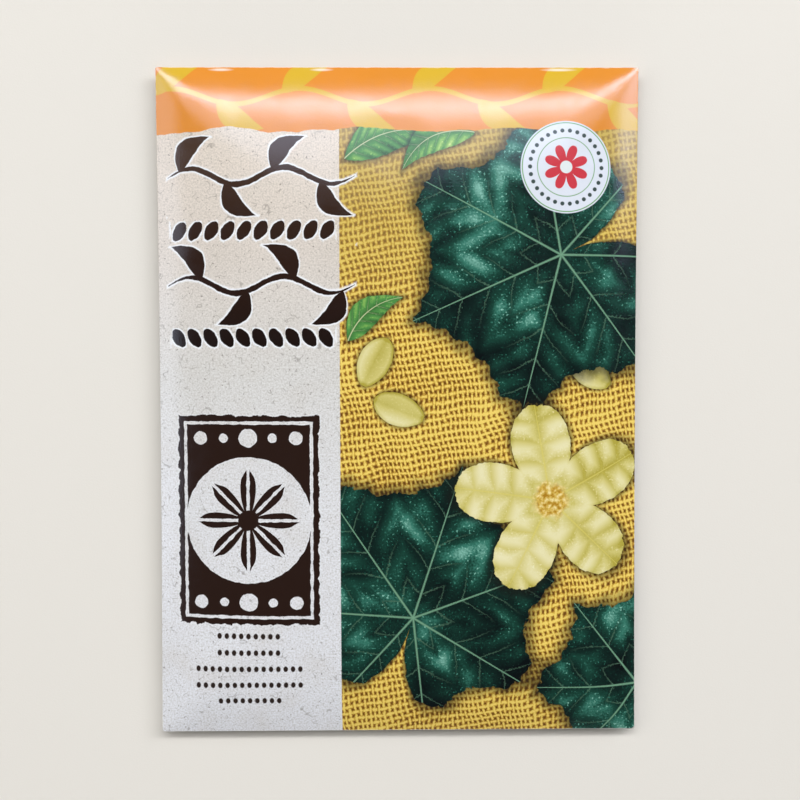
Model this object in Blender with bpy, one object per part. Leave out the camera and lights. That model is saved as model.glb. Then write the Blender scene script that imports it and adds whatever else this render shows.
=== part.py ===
"""A sealed paper seed packet, full of squash seeds, lying on its back.

+X is the packet's right, +Y its top edge, +Z up out of the printed front. The origin is the middle of the
spot that the packet rests on. Every length is in metres.
"""
import math
import random

import bmesh
import bpy
from mathutils import Matrix, Vector

# The envelope, closed and lying down
WIDTH = 0.08235             # across the two side folds, at the corners
HEIGHT = 0.1143             # from the bottom fold to the top fold
WAIST = 0.00025             # how far the full packet pulls each side fold in at mid height
EDGE_LEVEL = 0.0021         # middle of the front panel's paper above the table, all round its edge
CROWN = 0.0042              # how far the front panel rises above its edge
CROWN_REACH = 0.010         # how quickly it rises: two thirds of the way in this distance from a fold
RIDGE = 0.008               # widest rounding of the ridges that run in from the corners
LEVEL_RIM = 0.006           # the back panel stays level this far in from the folds
FLAT_FROM = 0.026           # and lies flat on the table from here

# The paper and how it is folded
PAPER = 0.00018
FOLD_GAP = 0.00025          # clear space between the front and the back panel at a fold
FOLD_REACH = 0.0004         # how far a fold's bend stands out past the panels
NOTCH = 0.0012              # the blank is cut away this far from each corner of the front
SIDE_FLAP = 0.011
BOTTOM_FLAP = 0.013
TOP_FLAP = 0.014
SIDE_TAPER = 0.003          # how far each end of the side flap draws in towards its free edge
END_TAPER = 0.004           # the same for the top and bottom flaps
STEP_RUN = 0.004            # length of the slope where an end flap climbs onto the side flap

# Glue between the flaps and what they are stuck to
GLUE = 0.0001
GLUE_CLEARANCE = 0.0001
GLUE_INSET = 0.0025         # from the folds and from the flaps' free edges

# Squash seeds: flat, egg-shaped, with a raised rim
SEED_LENGTH = 0.0142
SEED_WIDTH = 0.0085
SEED_THICKNESS = 0.0020
SEED_SIDES = 12
SEED_CLEARANCE = 0.0003
SEED_COLUMN = 0.016         # spacing of the places across the packet
SEED_ROW = 0.018            # and along it
LOWER_COLUMNS = 4
UPPER_COLUMNS = 2
SEED_ROWS = 4
SEED_JITTER = 0.0005
RANDOM_SEED = 7

HALF_W = (WIDTH - PAPER) / 2                        # to the middle of the paper at the outside of a fold
HALF_H = (HEIGHT - PAPER) / 2
BEND_STEPS = 4
LAYER_STEP = PAPER + GLUE + 2 * GLUE_CLEARANCE      # from the middle of one stuck layer to the next
BACK_STEP = PAPER + FOLD_GAP                        # from the front panel's middle to the back panel's
BACK_SAG = EDGE_LEVEL - BACK_STEP - PAPER / 2       # how far the back panel drops to lie on the table
CLIMBED_AT = HALF_W - 2 * FOLD_REACH - SIDE_FLAP    # an end flap is fully over the side flap from here


# --- shape of the filled packet

def smooth(run):
    run = min(max(run, 0.0), 1.0)
    return run * run * (3 - 2 * run)


def side_at(y):
    """Distance of the side folds from the middle line at height y."""
    return HALF_W - WAIST * (1 - (y / HALF_H) ** 2)


def edge_distance(x, y):
    """Distance to the nearest fold, with the ridges between neighbouring sides rounded."""
    dx = max(side_at(y) - abs(x), 0.0)
    dy = max(HALF_H - abs(y), 0.0)
    near = min(dx, dy)
    blend = min(near, RIDGE)
    if blend <= 0:
        return 0.0
    overlap = max(blend - abs(dx - dy), 0.0) / blend
    return near - overlap * overlap * blend / 4


def front_level(x, y):
    return EDGE_LEVEL + CROWN * (1 - math.exp(-edge_distance(x, y) / CROWN_REACH))


def back_level(x, y):
    return EDGE_LEVEL - BACK_STEP - BACK_SAG * smooth((edge_distance(x, y) - LEVEL_RIM) / (FLAT_FROM - LEVEL_RIM))


def side_flap_level(x, y):
    return back_level(x, y) - LAYER_STEP


def end_flap_level(x, y):
    """A top or bottom flap lies on the back panel, and climbs over the side flap at the right."""
    return back_level(x, y) - LAYER_STEP * (1 + smooth((x - CLIMBED_AT + STEP_RUN) / STEP_RUN))


# --- the folded sheet

def lines_across(half):
    """Places from -half to half, close together near the folds, with one at each notch, step and flat."""
    step_end = SIDE_FLAP + FOLD_REACH
    from_fold = [0.0, NOTCH, 0.003, 0.005, 0.0072, 0.0092, step_end, step_end + STEP_RUN,
                 0.019, 0.0225, FLAT_FROM, 0.031, 0.036, 0.0415, 0.049]
    one_side = [half - d for d in from_fold if d < half - 0.004]
    return [-p for p in one_side] + [0.0] + one_side[::-1]


def lines_into(depth, first):
    """Places from a fold to a flap's free edge."""
    count = 4
    return [first + (depth - first) * k / count for k in range(count + 1)]


def bend_point(side, edge, turn, level_from, level_to):
    """A point of a fold's half-oval bend, at the angle turn round it: place across the fold, and level."""
    out = edge + side * FOLD_REACH * math.sin(turn)
    return out, (level_from + level_to) / 2 + (level_from - level_to) / 2 * math.cos(turn)


def blank_columns():
    """The blank's lines from the back panel's free edge, round the front, to the side flap's free edge."""
    panel = HALF_W - FOLD_REACH
    turns = [math.pi * k / BEND_STEPS for k in range(1, BEND_STEPS)]
    columns = [("back", x) for x in reversed(lines_across(panel)) if x < panel - NOTCH / 2]
    columns += [("left bend", turn) for turn in reversed(turns)]
    columns += [("front", x) for x in lines_across(panel)]
    columns += [("right bend", turn) for turn in turns]
    columns += [("side flap", depth) for depth in lines_into(SIDE_FLAP, 0.0)]
    return columns


def blank_rows():
    """The blank's lines from the bottom flap's free edge, over the front, to the top flap's free edge."""
    panel = HALF_H - FOLD_REACH
    turns = [math.pi * k / BEND_STEPS for k in range(1, BEND_STEPS)]
    rows = [("bottom flap", depth) for depth in reversed(lines_into(BOTTOM_FLAP, 0.0))]
    rows += [("bottom bend", turn) for turn in reversed(turns)]
    rows += [("front", y) for y in lines_across(panel)]
    rows += [("top bend", turn) for turn in turns]
    rows += [("top flap", depth) for depth in lines_into(TOP_FLAP, 0.0)]
    return rows


def fold_across(panel, place, y):
    """Where a point of the front, the back or the side flap lies once the sheet is folded."""
    half = side_at(y) - FOLD_REACH
    draw_in = half / (HALF_W - FOLD_REACH)
    if panel == "front":
        x = place * draw_in
        return x, y, front_level(x, y)
    if abs(y) > HALF_H - FOLD_REACH - NOTCH / 2:
        return None
    if panel == "back":
        x = place * draw_in
        return x, y, back_level(x, y)
    if panel == "left bend":
        x, z = bend_point(-1, -half, place, front_level(-half, y), back_level(-half, y))
        return x, y, z
    if panel == "right bend":
        x, z = bend_point(1, half, place, front_level(half, y), side_flap_level(half, y))
        return x, y, z
    x = half - place
    y = y * (1 - SIDE_TAPER / HALF_H * place / SIDE_FLAP)
    return x, y, side_flap_level(x, y)


def fold_end(end, place, x):
    """Where a point of the top or bottom flap lies once the sheet is folded."""
    if abs(x) > HALF_W - FOLD_REACH - NOTCH / 2:
        return None
    side = 1 if end.startswith("top") else -1
    edge = side * (HALF_H - FOLD_REACH)
    if end.endswith("bend"):
        y, z = bend_point(side, edge, place, front_level(x, edge), end_flap_level(x, edge))
        return x, y, z
    depth = TOP_FLAP if side > 0 else BOTTOM_FLAP
    outer_part = max(abs(x) - CLIMBED_AT, 0) / (HALF_W - CLIMBED_AT)
    x = x - math.copysign(END_TAPER * outer_part * place / depth, x)
    y = edge - side * place
    return x, y, end_flap_level(x, y)


def split_along_ridges(bm):
    """Split every four-sided face by the diagonal that points away from the middle of the blank."""
    for face in [f for f in bm.faces if len(f.verts) == 4]:
        middle = face.calc_center_median()
        outward = Vector((math.copysign(1, middle.x), math.copysign(1, middle.y), 0))
        far = max(face.verts, key=lambda v: (v.co - middle).dot(outward))
        near = min(face.verts, key=lambda v: (v.co - middle).dot(outward))
        if far not in [loop.vert for loop in face.loops if loop.link_loop_next.vert == near
                       or loop.link_loop_prev.vert == near]:
            bmesh.utils.face_split(face, near, far)
    bmesh.ops.triangulate(bm, faces=[f for f in bm.faces if len(f.verts) > 3])


def packet_sheet():
    columns, rows = blank_columns(), blank_rows()
    bm = bmesh.new()
    bmesh.ops.create_grid(bm, x_segments=len(columns) - 1, y_segments=len(rows) - 1, size=1)
    split_along_ridges(bm)
    removed = []
    for vert in bm.verts:
        column = columns[round((vert.co.x + 1) / 2 * (len(columns) - 1))]
        row = rows[round((vert.co.y + 1) / 2 * (len(rows) - 1))]
        if row[0] == "front":
            place = fold_across(*column, row[1])
        elif column[0] == "front":
            place = fold_end(*row, column[1])
        else:
            place = None
        if place:
            vert.co = place
        else:
            removed.append(vert)
    bmesh.ops.delete(bm, geom=removed, context="VERTS")
    sheet = add_object("packet_sheet", bm, PRINTED_PAPER)
    thicken(sheet, PAPER)
    return sheet


# --- glue

def glue_strip(name, flap, places, lines):
    """A thin strip over the places into a flap and the lines along it, half a step inside the flap."""
    bm = bmesh.new()
    bmesh.ops.create_grid(bm, x_segments=len(lines) - 1, y_segments=len(places) - 1, size=1)
    split_along_ridges(bm)
    for vert in bm.verts:
        line = lines[round((vert.co.x + 1) / 2 * (len(lines) - 1))]
        place = places[round((vert.co.y + 1) / 2 * (len(places) - 1))]
        fold = fold_across if flap == "side flap" else fold_end
        x, y, z = fold(flap, place, line)
        vert.co = (x, y, z + LAYER_STEP / 2)
    bmesh.ops.recalc_face_normals(bm, faces=bm.faces)
    thicken(add_object(name, bm, SEAM_GLUE), GLUE)


def glue_strips():
    for name, flap, depth, half in (("side_seam_glue", "side flap", SIDE_FLAP, HALF_H),
                                    ("bottom_flap_glue", "bottom flap", BOTTOM_FLAP, HALF_W),
                                    ("top_flap_glue", "top flap", TOP_FLAP, HALF_W)):
        places = [GLUE_INSET, depth / 2, depth - GLUE_INSET]
        lines = [p for p in lines_across(half - FOLD_REACH) if abs(p) < half - GLUE_INSET]
        glue_strip(name, flap, places, lines)


# --- seeds

def seed_outline(scale, level):
    """Points of the seed's egg-shaped outline, narrowed to a blunt tip at +Y."""
    points = []
    for k in range(SEED_SIDES):
        angle = 2 * math.pi * k / SEED_SIDES
        along = math.sin(angle)
        breadth = math.cos(angle) * (1 - 0.28 * along)
        points.append(Vector((breadth * SEED_WIDTH / 2, along * SEED_LENGTH / 2, 0)) * scale
                      + Vector((0, 0, level)))
    return points


def seed_mesh():
    """One closed seed: a thin edge, a raised rim, a shallow groove and a domed middle, alike on both faces."""
    half = SEED_THICKNESS / 2
    profile = [(0.40, half), (0.74, 0.45 * half), (0.90, 0.62 * half), (1.0, 0.0)]
    rings = profile + [(scale, -level) for scale, level in reversed(profile[:-1])]
    bm = bmesh.new()
    first = None
    for scale, level in rings:
        ring = [bm.verts.new(p) for p in seed_outline(scale, level)]
        edges = [bm.edges.new((ring[k - 1], ring[k])) for k in range(SEED_SIDES)]
        if first is None:
            bmesh.ops.contextual_create(bm, geom=edges)
        else:
            bmesh.ops.bridge_loops(bm, edges=first + edges)
        first = edges
    bmesh.ops.contextual_create(bm, geom=first)
    bmesh.ops.recalc_face_normals(bm, faces=bm.faces)
    mesh = bpy.data.meshes.new("squash_seed")
    bm.to_mesh(mesh)
    bm.free()
    mesh.shade_smooth()
    mesh.materials.append(make_material(*SEED_COAT))
    return mesh


def lean_on_back(x, y, turn):
    """Height and slope of a seed that lies on the back panel at x, y without touching it."""
    step = SEED_WIDTH / 2
    slope_x = (back_level(x + step, y) - back_level(x - step, y)) / (2 * step)
    slope_y = (back_level(x, y + step) - back_level(x, y - step)) / (2 * step)
    spin = Matrix.Rotation(turn, 3, "Z")
    lift = 0.0
    for point in seed_outline(1.0, 0.0) + seed_outline(0.5, 0.0):
        spot = spin @ point
        base = back_level(x + spot.x, y + spot.y) - slope_x * spot.x - slope_y * spot.y
        lift = max(lift, base)
    return lift + PAPER / 2 + SEED_CLEARANCE + SEED_THICKNESS / 2, slope_x, slope_y


def seeds():
    """A layer of seeds on the back panel, and a smaller one over its middle, under the crown of the front."""
    draw = random.Random(RANDOM_SEED)
    mesh = seed_mesh()
    upper_level = PAPER + 2 * SEED_CLEARANCE + 1.5 * SEED_THICKNESS + 0.0004
    number = 0
    for columns, lower in ((LOWER_COLUMNS, True), (UPPER_COLUMNS, False)):
        for row in range(SEED_ROWS):
            for column in range(columns):
                x = (column - (columns - 1) / 2) * SEED_COLUMN + draw.uniform(-SEED_JITTER, SEED_JITTER)
                y = (row - (SEED_ROWS - 1) / 2) * SEED_ROW + draw.uniform(-SEED_JITTER, SEED_JITTER)
                turn = draw.uniform(0, 2 * math.pi)
                level, slope_x, slope_y = lean_on_back(x, y, turn) if lower else (upper_level, 0.0, 0.0)
                number += 1
                seed = bpy.data.objects.new(f"seed_{number:02d}", mesh)
                bpy.context.scene.collection.objects.link(seed)
                lean = Vector((0, 0, 1)).rotation_difference(Vector((-slope_x, -slope_y, 1)))
                seed.matrix_world = (Matrix.Translation((x, y, level)) @ lean.to_matrix().to_4x4()
                                     @ Matrix.Rotation(turn, 4, "Z"))


# --- materials and the object list

PRINTED_PAPER = ("printed_paper", (0.70, 0.66, 0.62), 0.45)
SEAM_GLUE = ("seam_glue", (0.80, 0.72, 0.50), 0.35)
SEED_COAT = ("seed_coat", (0.78, 0.66, 0.42), 0.60)


def make_material(name, color, roughness):
    material = bpy.data.materials.get(name) or bpy.data.materials.new(name)
    material.use_nodes = True
    shader = material.node_tree.nodes["Principled BSDF"]
    shader.inputs["Base Color"].default_value = (*color, 1.0)
    shader.inputs["Roughness"].default_value = roughness
    shader.inputs["Metallic"].default_value = 0.0
    return material


def add_object(name, bm, finish):
    mesh = bpy.data.meshes.new(name)
    bm.to_mesh(mesh)
    bm.free()
    mesh.shade_smooth()
    mesh.materials.append(make_material(*finish))
    piece = bpy.data.objects.new(name, mesh)
    bpy.context.scene.collection.objects.link(piece)
    return piece


def thicken(piece, thickness):
    solid = piece.modifiers.new("thickness", "SOLIDIFY")
    solid.thickness = thickness
    solid.offset = 0
    solid.use_even_offset = True


def main():
    for old in list(bpy.data.objects):
        bpy.data.objects.remove(old, do_unlink=True)
    packet_sheet()
    glue_strips()
    seeds()


main()
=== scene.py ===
# A sealed paper seed packet, lying on its back on a pale table.
import math

import bmesh
import bpy
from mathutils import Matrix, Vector, noise


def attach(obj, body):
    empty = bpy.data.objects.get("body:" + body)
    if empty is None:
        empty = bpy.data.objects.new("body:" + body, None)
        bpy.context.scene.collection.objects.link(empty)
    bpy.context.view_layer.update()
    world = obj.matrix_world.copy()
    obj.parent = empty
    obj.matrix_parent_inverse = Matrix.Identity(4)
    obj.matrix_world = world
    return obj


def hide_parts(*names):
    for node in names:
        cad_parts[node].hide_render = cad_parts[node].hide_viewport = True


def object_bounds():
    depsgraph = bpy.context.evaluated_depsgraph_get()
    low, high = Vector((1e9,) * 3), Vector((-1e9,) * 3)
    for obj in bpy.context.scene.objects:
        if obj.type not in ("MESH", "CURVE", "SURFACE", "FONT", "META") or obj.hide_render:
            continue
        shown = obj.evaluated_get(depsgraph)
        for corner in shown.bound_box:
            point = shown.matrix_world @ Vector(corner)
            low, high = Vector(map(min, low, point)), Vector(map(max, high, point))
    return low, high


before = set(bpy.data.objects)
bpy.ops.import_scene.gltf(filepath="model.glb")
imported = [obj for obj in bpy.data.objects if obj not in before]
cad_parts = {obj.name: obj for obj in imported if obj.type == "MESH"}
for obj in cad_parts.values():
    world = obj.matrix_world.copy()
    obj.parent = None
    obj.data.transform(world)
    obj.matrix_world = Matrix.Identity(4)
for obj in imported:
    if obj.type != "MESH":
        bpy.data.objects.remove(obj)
cadLow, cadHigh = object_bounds()
print("frame loaded,", len(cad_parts), "nodes")


def linearFromHex(code):
    parts = [int(code[k:k + 2], 16) / 255 for k in (1, 3, 5)]
    linear = [p / 12.92 if p <= 0.04045 else ((p + 0.055) / 1.055) ** 2.4 for p in parts]
    return (*linear, 1.0)


def addNode(tree, kind, *links, **settings):
    # kind may end in its operation, as in Math.ADD; links fill the inputs in order, or by name from a dictionary
    # stops fill a colour ramp, and profile a float curve
    kind, _, operation = kind.partition(".")
    made = tree.nodes.new("ShaderNode" + kind)
    if operation:
        made.operation = operation
    for name, value in settings.items():
        if name == "stops":
            while len(made.color_ramp.elements) < len(value):
                made.color_ramp.elements.new(0.5)
            for stop, (place, code) in zip(made.color_ramp.elements, value):
                stop.position = place
                stop.color = linearFromHex(code)
        elif name == "profile":
            curve = made.mapping.curves[0]
            while len(curve.points) < len(value):
                curve.points.new(0.5, 0.5)
            for point, spot in zip(curve.points, value):
                point.location = spot
            made.mapping.extend = "HORIZONTAL"
            made.mapping.update()
        else:
            setattr(made, name, value)
    named = links[0] if links and isinstance(links[0], dict) else dict(enumerate(links))
    for place, value in named.items():
        if isinstance(value, str):
            value = linearFromHex(value)
        if isinstance(value, bpy.types.Node):
            value = value.outputs[0]
        if isinstance(value, bpy.types.NodeSocket):
            tree.links.new(value, made.inputs[place])
        elif value is not None:
            made.inputs[place].default_value = value
    return made


def startMaterial(name, scale=(1000, 1000, 0), **shaderValues):
    # a material with its shader, and Object coordinates in millimetres, flat unless scale says otherwise
    material = bpy.data.materials.new(name)
    material.use_nodes = True
    tree = material.node_tree
    shader = tree.nodes["Principled BSDF"]
    for socket, value in shaderValues.items():
        shader.inputs[socket.replace("_", " ")].default_value = value
    objectSpot = addNode(tree, "TexCoord").outputs["Object"]
    spot = addNode(tree, "VectorMath.MULTIPLY", objectSpot, scale).outputs[0]
    return material, tree, shader, spot


sheet = {
    "paper": 0.00013,          # coated paper, a little thicker than real so its cut edges catch light
    "waist": 0.00025,          # the full packet pulls its side folds in this far at mid height
    "edgeLevel": 0.00212,      # front panel at the folds, above the table
    "crown": 0.0042,           # rise of the front panel
    "crownReach": 0.010,
    "ridge": 0.003,            # widest rounding of the corner ridges
    "frontToBack": 0.0002,     # middle to middle of the two panels at a fold
    "stuckStep": 0.00018,      # middle to middle of two glued layers
    "foldReach": 0.00005,      # how far a bend stands out past the panels
    "notch": 0.00006,          # the blank is cut away this far from each corner
    "sideFlap": 0.011,
    "bottomFlap": 0.013,
    "topFlap": 0.014,
    "sideTaper": 0.003,
    "endTaper": 0.004,
    "stepRun": 0.002,          # slope of an end flap where it climbs onto the side flap
    "levelRim": 0.004,
    "flatFrom": 0.026,
    "spacing": 0.001,          # distance between the mesh's lines
    "bendSteps": 6,
    "seedSwell": 0.00013,      # gentle swells where seeds press on the paper
    "crease": 0.00005,         # faint handling creases
}

halfW = (cadHigh.x - cadLow.x - sheet["paper"]) / 2
halfH = (cadHigh.y - cadLow.y - sheet["paper"]) / 2


def smooth(run):
    run = min(max(run, 0.0), 1.0)
    return run * run * (3 - 2 * run)


def sideAt(y):
    return halfW - sheet["waist"] * (1 - (y / halfH) ** 2)


def edgeDistance(x, y):
    # distance to the nearest fold, rounded over the corner ridges
    dx = max(sideAt(y) - abs(x), 0.0)
    dy = max(halfH - abs(y), 0.0)
    near = min(dx, dy)
    blend = min(near, sheet["ridge"])
    if blend <= 0:
        return 0.0
    overlap = max(blend - abs(dx - dy), 0.0) / blend
    return near - overlap * overlap * blend / 4


def paperRelief(x, y, inset):
    # swells over the seeds and faint creases, none right at the folds
    fade = smooth(inset / 0.008)
    swell = noise.noise(Vector((x * 62, y * 55, 3.1))) * sheet["seedSwell"]
    ridge = abs(noise.noise(Vector((x * 95 + y * 40, y * 60 - x * 30, 8.7))))
    crease = (0.25 - min(ridge, 0.25)) * 4 * sheet["crease"]
    return fade * (swell + crease)


def frontLevel(x, y):
    inset = edgeDistance(x, y)
    rise = sheet["crown"] * (1 - math.exp(-inset / sheet["crownReach"]))
    return sheet["edgeLevel"] + rise + paperRelief(x, y, inset)


def backLevel(x, y):
    top = sheet["edgeLevel"] - sheet["frontToBack"]
    run = (edgeDistance(x, y) - sheet["levelRim"]) / (sheet["flatFrom"] - sheet["levelRim"])
    return top - (top - sheet["paper"] / 2) * smooth(run)


def sideFlapLevel(x, y):
    return backLevel(x, y) - sheet["stuckStep"]


def endFlapLevel(x, y):
    climbedAt = halfW - 2 * sheet["foldReach"] - sheet["sideFlap"]
    climb = smooth((x - climbedAt + sheet["stepRun"]) / sheet["stepRun"])
    return backLevel(x, y) - sheet["stuckStep"] * (1 + climb)


def gridLines(half):
    # places from -half to half, a line at each notch
    inner = half - sheet["notch"]
    count = round(inner / sheet["spacing"])
    oneSide = [half] + [inner * k / count for k in range(count, 0, -1)]
    return [-p for p in oneSide] + [0.0] + oneSide[::-1]


def flapLines(depth):
    count = round(depth / sheet["spacing"])
    return [depth * k / count for k in range(count + 1)]


def bendPoint(side, edge, turn, levelFrom, levelTo):
    out = edge + side * sheet["foldReach"] * math.sin(turn)
    return out, (levelFrom + levelTo) / 2 + (levelFrom - levelTo) / 2 * math.cos(turn)


def blankLines(fromPanel, panelHalf, toPanel):
    # (part of the blank, place) for each grid line from one free edge to the other
    turns = [math.pi * k / sheet["bendSteps"] for k in range(1, sheet["bendSteps"])]
    lines = [(fromPanel[0], place) for place in reversed(fromPanel[1])]
    lines += [("low bend", turn) for turn in reversed(turns)]
    lines += [("front", place) for place in gridLines(panelHalf)]
    lines += [("high bend", turn) for turn in turns]
    return lines + [(toPanel[0], place) for place in toPanel[1]]


def foldAcross(part, place, y):
    # front, back and side flap: where a point lies once folded
    panel = halfW - sheet["foldReach"]
    half = sideAt(y) - sheet["foldReach"]
    if part == "front":
        x = place * half / panel
        return x, y, frontLevel(x, y)
    if abs(y) > halfH - sheet["foldReach"] - sheet["notch"] / 2:
        return None
    if part == "back":
        x = (place - panel) * half / panel
        return x, y, backLevel(x, y)
    if part == "low bend":
        x, z = bendPoint(-1, -half, place, frontLevel(-half, y), backLevel(-half, y))
        return x, y, z
    if part == "high bend":
        x, z = bendPoint(1, half, place, frontLevel(half, y), sideFlapLevel(half, y))
        return x, y, z
    x = half - place
    y = y * (1 - sheet["sideTaper"] / halfH * place / sheet["sideFlap"])
    return x, y, sideFlapLevel(x, y)


def foldEnd(part, place, x):
    # top and bottom flaps
    if abs(x) > halfW - sheet["foldReach"] - sheet["notch"] / 2:
        return None
    side = -1 if part in ("low bend", "bottom flap") else 1
    edge = side * (halfH - sheet["foldReach"])
    if part.endswith("bend"):
        y, z = bendPoint(side, edge, place, frontLevel(x, edge), endFlapLevel(x, edge))
        return x, y, z
    depth = sheet["topFlap"] if side > 0 else sheet["bottomFlap"]
    keep = halfW - sheet["sideFlap"]
    outer = max(abs(x) - keep, 0) / (halfW - keep)
    x = x - math.copysign(sheet["endTaper"] * outer * place / depth, x)
    y = edge - side * place
    return x, y, endFlapLevel(x, y)


def gridMesh(columns, rows):
    bm = bmesh.new()
    bmesh.ops.create_grid(bm, x_segments=len(columns) - 1, y_segments=len(rows) - 1, size=1)
    return bm


def gridPlace(vert, columns, rows):
    return (columns[round((vert.co.x + 1) / 2 * (len(columns) - 1))],
            rows[round((vert.co.y + 1) / 2 * (len(rows) - 1))])


def makePiece(name, bm, materials, thickness, slotName, *replaced):
    mesh = bpy.data.meshes.new(name)
    bm.to_mesh(mesh)
    bm.free()
    mesh.shade_smooth()
    for material in materials:
        mesh.materials.append(material)
    piece = bpy.data.objects.new(name, mesh)
    bpy.context.scene.collection.objects.link(piece)
    solid = piece.modifiers.new("paper thickness", "SOLIDIFY")
    solid.thickness = thickness
    solid.offset = 0
    solid.use_even_offset = True
    solid.material_offset = len(materials) - 1
    solid.material_offset_rim = len(materials) - 1
    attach(piece, "root")
    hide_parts(*replaced)
    return piece


def foldedSheet(materials):
    panel = halfW - sheet["foldReach"]
    across = [place + panel for place in gridLines(panel)][:-1]      # back panel, from its fold
    columns = blankLines(("back", across), panel, ("side flap", flapLines(sheet["sideFlap"])))
    rows = blankLines(("bottom flap", flapLines(sheet["bottomFlap"])), halfH - sheet["foldReach"],
                      ("top flap", flapLines(sheet["topFlap"])))
    bm = gridMesh(columns, rows)
    places = {vert: gridPlace(vert, columns, rows) for vert in bm.verts}
    for face in bm.faces:
        parts = {place[0] for vert in face.verts for place in places[vert]}
        face.material_index = 2 if "top flap" in parts else 1 if parts & {"back", "side flap", "bottom flap"} else 0
    removed = []
    for vert, (column, row) in places.items():
        spot = None
        if row[0] == "front":
            spot = foldAcross(*column, row[1])
        elif column[0] == "front":
            spot = foldEnd(*row, column[1])
        if spot:
            vert.co = spot
        else:
            removed.append(vert)
    bmesh.ops.delete(bm, geom=removed, context="VERTS")
    return makePiece("folded_printed_sheet", bm, materials, sheet["paper"], "printed_paper", "packet_sheet")


def inkMask(tree, depth, soft=0.05):
    return addNode(tree, "MapRange", depth, 0.0, 2 * soft)


def overprint(tree, under, mask, ink, mode="MIX"):
    return addNode(tree, "Mix", {0: mask, 6: under, 7: ink}, data_type="RGBA", blend_type=mode).outputs[2]


def localPlace(tree, spot, place, angle, size=1.0):
    return addNode(tree, "Mapping", spot, (*place, 0), (0, 0, math.radians(angle)), (size, size, 1),
                   vector_type="TEXTURE")


def bladeShape(tree, spot, blade):
    # a blade with a curved midrib: millimetres along it, aside of it and in from its edge, and the share across
    local = localPlace(tree, spot, blade["place"], blade["angle"], blade["length"])
    along, level = addNode(tree, "SeparateXYZ", local).outputs[:2]
    hump = addNode(tree, "Math.MULTIPLY", along, addNode(tree, "Math.SUBTRACT", 1.0, along))
    across = addNode(tree, "Math.MULTIPLY_ADD", hump, -4 * blade["bend"], level)
    aside = addNode(tree, "Math.ABSOLUTE", across)
    outline = addNode(tree, "FloatCurve", {1: along}, profile=blade["profile"])
    inside = addNode(tree, "Math.MINIMUM", addNode(tree, "Math.SUBTRACT", outline, aside), hump)
    scaled = [addNode(tree, "Math.MULTIPLY", value, blade["length"]) for value in (along, aside, inside)]
    return *scaled, across


def fanShape(tree, spot, fan):
    # a lobed leaf, or a flower of equal petals, whose veins fan out from its stalk; gives what bladeShape does
    local = localPlace(tree, spot, fan["place"], fan["angle"], fan["length"])
    along, across = addNode(tree, "SeparateXYZ", local).outputs[:2]
    radius = addNode(tree, "VectorMath.LENGTH", local).outputs[1]
    turn = addNode(tree, "Math.ABSOLUTE", addNode(tree, "Math.ARCTAN2", across, along))
    veinTurn = addNode(tree, "Math.PINGPONG", turn, math.radians(fan["fan"]) / 2)
    petals = fan.get("petals")
    share = addNode(tree, "Math.DIVIDE", veinTurn if petals else turn, math.pi / (petals or 1))
    outline = addNode(tree, "FloatCurve", {1: share}, profile=fan["profile"])
    inside = addNode(tree, "Math.SUBTRACT", outline, radius)
    alongMm = addNode(tree, "Math.MULTIPLY", radius, fan["length"])
    asideMm = addNode(tree, "Math.MULTIPLY", veinTurn, alongMm)
    insideMm = addNode(tree, "Math.MULTIPLY", inside, fan["length"])
    return alongMm, asideMm, insideMm, across


def printLeaf(tree, spot, under, leaf, grain, gloss):
    # lays one shaded, veined leaf or flower over the picture, with its shadow on what is under it
    shape = fanShape if "fan" in leaf else bladeShape
    along, aside, inside, across = shape(tree, spot, leaf)
    wavy = addNode(tree, "Math.MULTIPLY_ADD", gloss, leaf["veinGap"] * 0.4, along)      # side veins wander
    slant = addNode(tree, "Math.MULTIPLY_ADD", aside, -leaf["slope"], wavy)
    rib = addNode(tree, "Math.PINGPONG", slant, leaf["veinGap"] / 2)
    edge = addNode(tree, "Math.MULTIPLY_ADD", rib, -leaf["tooth"], inside)              # a tooth at each vein's end
    rough = addNode(tree, "Math.MULTIPLY_ADD", grain, leaf["ripple"], edge)
    nearVein = addNode(tree, "Math.MINIMUM", addNode(tree, "Math.MULTIPLY", rib, 1.6), aside)
    pillow = addNode(tree, "MapRange", nearVein, 0.0, leaf["veinGap"] * 0.7, 0.0, leaf["pillow"])
    lit = addNode(tree, "Math.MULTIPLY_ADD", gloss, leaf["mottle"], pillow)
    sided = addNode(tree, "Math.MULTIPLY_ADD", across, leaf["sided"], lit)
    rim = addNode(tree, "MapRange", rough, 0.0, leaf["rim"], leaf["rimTone"], 0.0)
    color = addNode(tree, "ValToRGB", addNode(tree, "Math.ADD", sided, rim), stops=leaf["tones"])
    # the midrib thins to its tip, and the side veins fade out sideways
    taper = addNode(tree, "MapRange", along, 0.0, leaf["length"], leaf["vein"], leaf["vein"] * 0.3)
    midrib = addNode(tree, "MapRange", aside, taper, 0.0, 0.0, leaf["veinShow"] * 1.6)
    fade = addNode(tree, "MapRange", aside, 0.0, leaf["veinGap"] * 1.3, leaf["veinShow"] * 0.6, 0.0)
    sideVein = addNode(tree, "MapRange", rib, leaf["vein"] * 0.7, 0.0, 0.0, fade)
    veined = overprint(tree, color, addNode(tree, "Math.MAXIMUM", midrib, sideVein), leaf["veinInk"])
    shade = addNode(tree, "MapRange", rough, -leaf["shadow"], 0.3, 0.0, 0.8, interpolation_type="SMOOTHSTEP")
    shaded = overprint(tree, under, shade, frontPrint["shadowInk"])
    return overprint(tree, shaded, inkMask(tree, rough), veined)


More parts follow.
